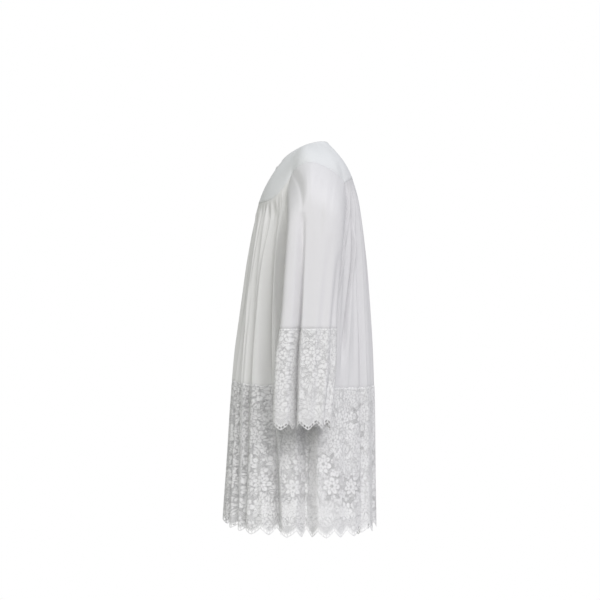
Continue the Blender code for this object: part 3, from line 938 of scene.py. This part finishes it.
def flowers(wu, wv, airy, below_seam, threads, ground):
    """Stems with leaves, daisies and roses, with what lies under each one cleared away.
    Gives the threads, the ground and where a rose stands in open net."""
    for stems in STEMS:
        motif, out = vine(wu, wv, stems)
        outline = inside(out - OUTLINE)
        threads = larger(threads * (1 - outline), motif)
        ground = ground * (1 - outline * 0.8)
    far, angle, _ = in_cell(wu, wv, DAISY)
    motif, out = daisy(far, angle, DAISY.reach, DAISY.petals)
    outline = inside(out - OUTLINE)
    threads = larger(threads * (1 - outline), motif)
    ground = ground * (1 - outline)
    far, angle, chance = in_cell(wu, wv, ROSE)
    motif, out = rose(far, angle, ROSE.reach, ROSE.petals)
    opened = inside(out - HALO) * (chance > 1 - airy) * below_seam
    outline = larger(opened, inside(out - ROSE_OUTLINE))
    return larger(threads * (1 - outline), motif), ground * (1 - outline), opened


def border(u, v, scallop, coarse, threads, net):
    """Net windows above some scallops, a ladder up from each notch, eyelets and edging.
    Gives the threads, the net and the dots between eyelets."""
    across = abs(part_of(u / scallop) * 2 - 1)
    edge = v - across**SCALLOP_POINT * SCALLOP_DEPTH
    chance = Value.node(
        "TexWhiteNoise", {"noise_dimensions": "1D"}, "Value", W=floor(u / scallop) + 0.5
    )
    chosen = chance > NO_WINDOW
    diamond = abs(edge - WINDOW_MIDDLE) - (1 - across) * WINDOW_HALF
    window = inside(diamond) * chosen
    rim = inside(abs(diamond) - 0.7 * MM) * chosen * (across < 0.93)
    threads = larger(threads * (1 - window), rim, coarse * window)
    climb = (v - LADDER_FOOT) / LADDER_RISE
    strip = abs(part_of(u / scallop) * scallop - climb * LADDER_DRIFT) - LADDER_HALF
    on_strip = inside(climb - 1, 0.02) * (climb > 0)
    rungs = inside(abs(part_of(v / RUNG_PITCH) - 0.5) - 0.16, 0.05)
    cords = inside(abs(strip - 0.55 * MM) - 0.55 * MM)
    strip = inside(strip)
    threads = larger(threads * (1 - strip * on_strip), larger(cords, rungs * strip) * on_strip)
    edging = inside(edge - EDGING)
    eyelets = inside(edge - EYELETS) * (1 - edging)
    dots = inside(abs(part_of(u / DOT_PITCH) - 0.5) - 0.24, 0.08)
    threads = larger(threads * (1 - eyelets), eyelets * dots, edging)
    return threads, net * (1 - window), dots


def heading(v, depth, dots, threads):
    """The heading that is sewn to the cloth, with a row of small eyelets below it."""
    sewn = inside(depth - HEADING - v) * 0.55
    row = inside(abs(v - depth + HEADING_EYELETS) - 0.7 * MM)
    return larger(threads * (1 - row), row * inside(0.30 - dots, 0.2), sewn)


def lace(name, scallop, depth, airy, hole, close, painted_net_shade):
    """Floral lace on net, with cords along its scalloped edge. Airy is the share of the
    roses that stand in open net, hole is the width of the ground's holes, and close is how
    thick the finest net's threads are for its mesh. Between its threads it is painted grey:
    painted shade for the darkness seen through the net."""
    material, shader = begin_material(name, 0.74, 0.25)
    u, v, _ = parts(cloth_uv())
    wu = u + (noise(vector_of(u, v), PULLS, 1.0) - 0.5) * PULL
    wv = v + (noise(vector_of(v, u), PULLS, 1.0) - 0.5) * PULL
    coarse = diamond_net(u, v, COARSE_MESH, 0.30)
    ground = dotted_net(wu, wv, HOLE_PITCH, hole)
    threads, tone = packed_leaves(u, v, wu, wv)
    below_seam = inside(v - depth + OPENED_BELOW, 1.0 * MM)
    threads, ground, opened = flowers(wu, wv, airy, below_seam, threads, ground)
    threads = larger(threads, coarse * opened)
    net = diamond_net(u, v, FINE_MESH, close) * (1 - opened)
    threads, net, dots = border(u, v, scallop, coarse, threads, net)
    threads = heading(v, depth, dots, threads)
    # Painted shade: the lowest band is filled near solid, so its holes show the painted grey in
    # place of what lies behind.
    low = inside(v - LOW_SHADE_BAND, 0.01)
    mask = larger(threads, ground * 0.96, net, low * 0.8)
    fill(shader, Alpha=clamped(mask))
    hatch = sine((u + v * 0.35) * (TURN / (0.9 * MM))) * 0.5 + 0.5
    solid = threads * (0.70 + tone * 0.20 + hatch * 0.10)
    # Painted shade: the ground and the nets take the painted grey, for the darkness seen through
    # them; the threads' tone and hatch are their own pattern.
    share = clamped(larger(solid, ground * 0.66, net * close))
    fill(shader, Base_Color=mixed(share, (painted_net_shade,) * 3, (LACE_WHITE,) * 3))
    height = larger(threads * (0.85 + hatch * 0.15), ground * 0.50, net * 0.30)
    bumped(shader, height, 0.0009, 0.8)
    return material


# Pieces


def smoothed(vectors, times):
    """Directions round a loop, each drawn towards its neighbours a number of times."""
    for _ in range(times):
        vectors = unit(np.roll(vectors, 1, axis=0) + 2 * vectors + np.roll(vectors, -1, axis=0))
    return vectors


def eased_out(rows, held):
    """Rows of loops with the creases across them worked out, apart from where they are held."""
    waves = np.fft.rfft(rows, axis=1)
    keep = 1 / (1 + (np.arange(waves.shape[1]) / YOKE_WAVES) ** 6)
    soft = np.fft.irfft(waves * keep[None, :, None], n=rows.shape[1], axis=1)
    return rows + (soft - rows) * held[:, None, None]


def yoke_edge():
    """The yoke's sewn edge: front, left shoulder, back and right shoulder."""
    _, _, shoulder = armhole_parts(SHOULDER_FINE)
    front = yoke_front_edge(FRONT_PLEATS * YOKE_COLUMNS)
    back = yoke_back_edge(BACK_PLEATS * YOKE_COLUMNS)
    return np.concatenate([edge[:-1] for edge in (front, shoulder, back, mirrored(shoulder))])


def yoke_rows():
    """Rows from the neck down to the sewn edge, the way up from it, and angles around."""
    edge = yoke_edge()
    around = np.arctan2(edge[:, 0], -edge[:, 1])
    neck = neck_point(around)
    angle = angle_of(BODY_RINGS, edge)
    below = ring_point(BODY_RINGS, angle, edge[:, 2] - YOKE_DROP)
    count = SHOULDER_COLUMNS * SHOULDER_FINE
    hump = np.sin(np.arange(count) / count * math.pi) ** 2
    front, back = np.zeros(FRONT_PLEATS * YOKE_COLUMNS), np.zeros(BACK_PLEATS * YOKE_COLUMNS)
    out = np.concatenate([front, hump, back, hump])
    side = np.stack([np.sign(edge[:, 0]), 0 * out, 0 * out - SHOULDER_FALL], axis=-1)
    fall = unit(below - edge) * (1 - out)[:, None] + unit(side) * out[:, None]
    rise = -smoothed(unit(fall), YOKE_SMOOTHING)
    reach = YOKE_REACH * np.linalg.norm(edge - neck, axis=1, keepdims=True)
    control = edge + rise * reach
    up = np.linspace(1, 0, YOKE_ROWS)
    rows = [
        edge * (1 - share) ** 2 + control * 2 * share * (1 - share) + neck * share**2
        for share in up
    ]
    return eased_out(np.array(rows), eased(up / YOKE_HELD)), rise, around


def build_yoke(material):
    """The yoke, with its turned neck edge, a pressed line in front and its seam's ridge."""
    rows, rise, around = yoke_rows()
    normals = grid_normals(rows, True)
    down = lengths_from_first(rows)
    up = down[-1] - down
    turned = eased((NECK_TURN - down) / NECK_STEP + 0.5) * NECK_RAISE
    pressed = np.exp(-(((down - PRESSED_AT) / PRESSED_WIDTH) ** 2)) * PRESSED_RAISE
    pressed = pressed * eased((np.cos(around) - PRESSED_FROM) * PRESSED_GROWTH)
    ridge = eased((SEAM_TURN - up) / NECK_STEP + 0.5) * SEAM_RAISE
    rows = rows + normals * (turned + pressed + ridge)[..., None]
    mark_stitches(rows, True, NECK_STITCHES, from_top=True)
    mark_stitches(rows, True, SEAM_STITCHES)
    mark_stitches(rows, True, PRESSED_AT, from_top=True, wanted=np.cos(around) > PRESSED_SEWN)
    lap = rows[-1] - rise * LAP
    neck_in = rows[0] - normals[0] * TURNED
    rows = np.concatenate([neck_in[None], rows, lap[None]])
    plain_cloth("yoke_cloth", rows, True, material, ["yoke"])


def panel_edge(part, fine):
    """A panel's sewn top edge: up one armhole, along the yoke and down the other armhole."""
    front_armhole, back_armhole, _ = armhole_parts(fine)
    if part == "front":
        edge = yoke_front_edge(FRONT_PLEATS * PLEAT_COLUMNS * fine)
        return np.concatenate([mirrored(front_armhole)[:-1], edge, front_armhole[1:]])
    edge = yoke_back_edge(BACK_PLEATS * PLEAT_COLUMNS * fine)
    return np.concatenate([back_armhole[:-1], edge, mirrored(back_armhole)[1:]])


def build_panel(part, cloth_material, lace_material):
    """The front or back panel with its pleats, and the hem lace below it."""
    front = part == "front"
    start, end = (-SIDE_SEAM, SIDE_SEAM) if front else (SIDE_SEAM, TURN - SIDE_SEAM)
    edge = panel_edge(part, FINE)
    columns = len(edge) - 1
    angle = equal_angles(BODY, start, end, columns)
    top_angle = unwrapped(angle_of(BODY_RINGS, edge), angle)
    pleats = pleat_share(columns, ARMHOLE_COLUMNS * FINE, FINE)
    seam = lace_seam(angle)
    rows = hanging_rows(BODY, edge, top_angle, angle, seam, PANEL_ROWS, PANEL_FADE, pleats)
    mark_stitches(rows, False, LACE_STITCHES)
    rows = tuck(rows, False, PANEL_TUCK, TURNED)
    plain_cloth(part + "_panel", rows, False, cloth_material, [part])

    scallops = (len(panel_edge(part, 1)) - 1) // SCALLOP_SPAN
    fine_columns = scallops * SCALLOP_COLUMNS * LACE_FINE
    angle = equal_angles(BODY, start, end, fine_columns)
    build_lace(
        "hem_lace_" + part + "_band", BODY, angle, lace_seam(angle), hem_low(angle), False,
        HEM_LACE_ROWS, lace_material, ["hem_lace_" + part], 1,
    )


def build_lace(name, cloth, angle, seam, low, closed, count, material, nodes, sign):
    """A lace band: rows down to the border, then rows that follow the scallops."""
    per = SCALLOP_COLUMNS * LACE_FINE
    if closed:
        angle, seam, low = angle[:-1], seam[:-1], low[:-1]
    across = 2 * (np.arange(len(angle)) % per) / per - 1
    edge = low + SCALLOP_DEPTH * np.abs(across) ** SCALLOP_POINT
    top = seam + LACE_LAP
    below = low + BORDER_TOP
    heights = [top + (below + LARGE_GAP - top) * share for share in np.linspace(0, 1, count)]
    heights.append(below)
    ladder_top = edge + 2 * EDGE_CORD + LADDER_GAP
    heights += [below + (ladder_top - below) * share for share in BORDER_ROWS]
    heights += [edge + EDGE_CORD + LADDER_GAP, edge + EDGE_CORD, edge]
    rows = np.array([folded(cloth, angle, height) for height in heights])
    rows[0] = rows[0] - grid_normals(rows, closed)[0] * LOW_TURNED
    ladder = len(rows) - 3
    gaps = {(ladder, column) for column in range(len(angle)) if column % LADDER_POST}
    nominal = (HEM_SCALLOP if cloth is BODY else CUFF_SCALLOP) / per
    along = np.arange(len(angle) + 1) * nominal
    down = np.array([height - low for height in heights])
    if closed:
        down = np.concatenate([down, down[:, :1]], axis=1)
    data = cloth_mesh(name, rows, along, down, closed, sign, gaps)
    make_cloth(name, data, material, LACE, nodes)


def build_sleeve(side, cloth_material, lace_material):
    """A sleeve from its armhole, and the cuff lace below it. The right one is mirrored."""
    sign = 1 if side == "left" else -1
    end = CUFF_PARTING + TURN
    front, back, shoulder = armhole_parts(SLEEVE_FINE)
    loop = np.concatenate([shoulder[:-1], back[::-1][:-1], front[::-1][:-1]])
    top = np.roll(loop, -SLEEVE_START * SLEEVE_FINE, axis=0) + np.array([SLEEVE_OFF, 0, 0])
    angle = equal_angles(SLEEVE, CUFF_PARTING, end, len(top))[:-1]
    rows = hanging_rows(SLEEVE, top, angle, angle, SLEEVE_SEAM, SLEEVE_ROWS, SLEEVE_FADE)
    mark_stitches(rows, True, LACE_STITCHES, sign)
    rows = tuck(rows, True, SLEEVE_TUCK)
    nodes = ["sleeve_" + side]
    plain_cloth(side + "_sleeve", rows, True, cloth_material, nodes, sign)

    fine_columns = CUFF_SCALLOPS * SCALLOP_COLUMNS * LACE_FINE
    angle = equal_angles(SLEEVE, CUFF_PARTING, end, fine_columns)
    build_lace(
        side + "_cuff_lace", SLEEVE, angle, np.full(len(angle), SLEEVE_SEAM),
        np.full(len(angle), CUFF_LOW), True, CUFF_LACE_ROWS, lace_material,
        [f"cuff_lace_{side}_front", f"cuff_lace_{side}_back"], sign,
    )


def stitch_tree(material):
    """Nodes that lay a small thread at equal steps along each seam."""
    tree = bpy.data.node_groups.new("stitches", "GeometryNodeTree")
    tree.interface.new_socket("Seams", in_out="INPUT", socket_type="NodeSocketGeometry")
    for name in ("Pitch", "Length", "Width"):
        tree.interface.new_socket(name, in_out="INPUT", socket_type="NodeSocketFloat")
    tree.interface.new_socket("Stitches", in_out="OUTPUT", socket_type="NodeSocketGeometry")
    Value.tree = tree
    sizes = tree.nodes.new("NodeGroupInput").outputs
    seams, pitch, length, width = (
        Value(sizes[name]) for name in ("Seams", "Pitch", "Length", "Width")
    )
    curve = Value.node("GeometryNodeMeshToCurve", {}, "Curve", Mesh=seams)
    points = Value.node(
        "GeometryNodeCurveToPoints", {"mode": "LENGTH"}, "Points", Curve=curve, Length=pitch
    )
    along = Value(points.socket.node.outputs["Tangent"])
    out = Value.node(
        "GeometryNodeInputNamedAttribute", {"data_type": "FLOAT_VECTOR"}, "Attribute", Name="out"
    )
    turned = Value.node("FunctionNodeAlignRotationToVector", {"axis": "X"}, 0, Vector=along)
    turned = Value.node(
        "FunctionNodeAlignRotationToVector", {"axis": "Z", "pivot_axis": "X"}, 0,
        Rotation=turned, Vector=out,
    )
    thread = Value.node("GeometryNodeMeshIcoSphere", {}, "Mesh", Radius=0.5, Subdivisions=1)
    size = vector_of(length, width, width)
    laid = Value.node(
        "GeometryNodeInstanceOnPoints", {}, 0, Points=points, Instance=thread, Rotation=turned,
        Scale=size,
    )
    solid = Value.node("GeometryNodeRealizeInstances", {}, 0, Geometry=laid)
    done = Value.node("GeometryNodeSetMaterial", {}, 0, Geometry=solid, Material=material)
    tree.links.new(done.socket, tree.nodes.new("NodeGroupOutput").inputs["Stitches"])
    return tree


def build_stitches(material):
    """Rows of stitches along the neck edge and the seams, as one plain mesh."""
    points = np.concatenate([line for line, _ in SEAMS])
    out = np.concatenate([out for _, out in SEAMS])
    edges, first = [], 0
    for line, _ in SEAMS:
        edges += [(first + step, first + step + 1) for step in range(len(line) - 1)]
        first += len(line)
    lines = bpy.data.meshes.new("seam lines")
    lines.from_pydata(points.tolist(), edges, [])
    lines.attributes.new("out", "FLOAT_VECTOR", "POINT").data.foreach_set("vector", out.ravel())
    holder = put("seam lines", lines)
    modifier = holder.modifiers.new("Stitches", "NODES")
    modifier.node_group = stitch_tree(material)
    sizes = {"Pitch": STITCH_PITCH, "Length": STITCH_LENGTH, "Width": STITCH_WIDTH}
    for socket in modifier.node_group.interface.items_tree:
        if socket.name in sizes:
            modifier[socket.identifier] = sizes[socket.name]
    shape = holder.evaluated_get(bpy.context.evaluated_depsgraph_get())
    data = bpy.data.meshes.new_from_object(shape)
    data.name = "stitches"
    data.shade_smooth()
    bpy.data.objects.remove(holder)
    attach(put("stitches", data), "root")


# Light, floor and camera

EYE = Vector((3.7, -0.0275, -0.370))
VIEW_WAY = Vector((-1, 0, 0))
LENS = 88.8
SENSOR = 36
FLOOR = -1.35
FLOOR_REACH = 1.10
FLOOR_FADE = 0.35
AMBIENT_FRONT = (0.362, 0.364, 0.318)
AMBIENT_BACK = (0.455, 0.449, 0.475)
AMBIENT_TOP = (0.535, 0.555, 0.580)
KEY_WAY = Vector((0.78, 0.16, 0.54))
KEY_COLOUR = (1.0, 0.985, 0.995)
KEY_POWER = 1.56
KEY_SOFTNESS = math.radians(40)


def build_stage():
    """A pale round floor that fades into the pale surroundings."""
    material, shader = begin_material("pale floor", 0.9, 0.0)
    fill(shader, Base_Color=(0.86, 0.86, 0.86, 1))
    fill(shader, Emission_Color=(1, 1, 1, 1), Emission_Strength=0.25)
    x, y, _ = parts(Value.node("TexCoord", {}, "Object"))
    far = (x * x + y * y) ** 0.5
    fill(shader, Alpha=clamped((FLOOR_REACH - far) / (FLOOR_REACH - FLOOR_FADE)))
    mesh = bmesh.new()
    bmesh.ops.create_circle(mesh, cap_ends=True, segments=96, radius=FLOOR_REACH)
    bmesh.ops.translate(mesh, verts=mesh.verts, vec=(0, 0, FLOOR))
    data = bpy.data.meshes.new("floor")
    mesh.to_mesh(data)
    mesh.free()
    data.materials.append(material)
    put("floor", data)


def build_lights():
    """Pale surroundings, dimmer as light than as a background, and one broad soft key."""
    bpy.context.scene.view_settings.view_transform = "Standard"
    world = bpy.data.worlds.new("pale studio")
    bpy.context.scene.world = world
    world.use_nodes = True
    tree = Value.tree = world.node_tree
    seen = tree.nodes["Background"]
    fill(seen, Color=(1, 1, 1, 1), Strength=1.0)
    _, y, z = parts(Value.node("TexCoord", {}, "Generated"))
    level = mixed(clamped(y * 0.5 + 0.5), AMBIENT_FRONT, AMBIENT_BACK)
    cast = Value.node("Background", {}, 0, Color=mixed(clamped(z), level, AMBIENT_TOP))
    straight = Value.node("LightPath", {}, "Is Camera Ray")
    both = Value.node("MixShader", {}, 0, straight, cast, Value(seen.outputs[0]))
    fill(tree.nodes["World Output"], Surface=both)
    key = bpy.data.lights.new("soft key", "SUN")
    key.energy = KEY_POWER
    key.angle = KEY_SOFTNESS
    key.color = KEY_COLOUR
    put("soft key", key).rotation_euler = (-KEY_WAY).to_track_quat("-Z", "Y").to_euler()


def build_camera():
    """A camera at the wearer's left, as in the photo."""
    camera = bpy.data.cameras.new("camera")
    camera.lens = LENS
    camera.sensor_width = SENSOR
    holder = put("camera", camera)
    holder.location = EYE
    holder.rotation_euler = VIEW_WAY.to_track_quat("-Z", "Y").to_euler()
    bpy.context.scene.camera = holder


def main():
    """Everything in the scene."""
    build_stage()
    build_lights()
    build_camera()
    # Lit and shaded copies of one cotton: painted tints stand in for light, bluish on the yoke,
    # an olive shade in front, a darker painted shade behind and lilac on the sleeves.
    yoke_cotton_sky_tint = cotton("yoke cotton", (0.84, 0.855, 0.863), (0.88, 0.895, 0.903))
    front_cotton_olive_shade = cotton("front cotton", (0.85, 0.85, 0.84), (0.905, 0.905, 0.895))
    back_cotton_painted_shade = cotton("back cotton", (0.78, 0.777, 0.787), (0.825, 0.822, 0.832))
    sleeve_cotton_lilac_tint = cotton("sleeve cotton", (0.84, 0.835, 0.846), (0.88, 0.875, 0.886))
    hem_depth = LACE_SEAM_FRONT - HEM_FRONT
    cuff_depth = SLEEVE_SEAM - CUFF_LOW
    # Lit and shaded copies of one lace: the painted grey between threads is darkest in front and
    # lighter behind and on the cuffs, as painted shade.
    front_lace = lace("front hem lace", HEM_SCALLOP, hem_depth, 0.45, 3.4 * MM, 0.29, 0.75)
    back_lace = lace("back hem lace", HEM_SCALLOP, hem_depth, 0.30, 2.8 * MM, 0.42, 0.82)
    cuff_lace = lace("cuff lace", CUFF_SCALLOP, cuff_depth, 0.0, 2.8 * MM, 0.46, 0.85)
    build_yoke(yoke_cotton_sky_tint)
    build_panel("front", front_cotton_olive_shade, front_lace)
    build_panel("back", back_cotton_painted_shade, back_lace)
    for side in ("left", "right"):
        build_sleeve(side, sleeve_cotton_lilac_tint, cuff_lace)
    build_stitches(sewing_thread())


main()
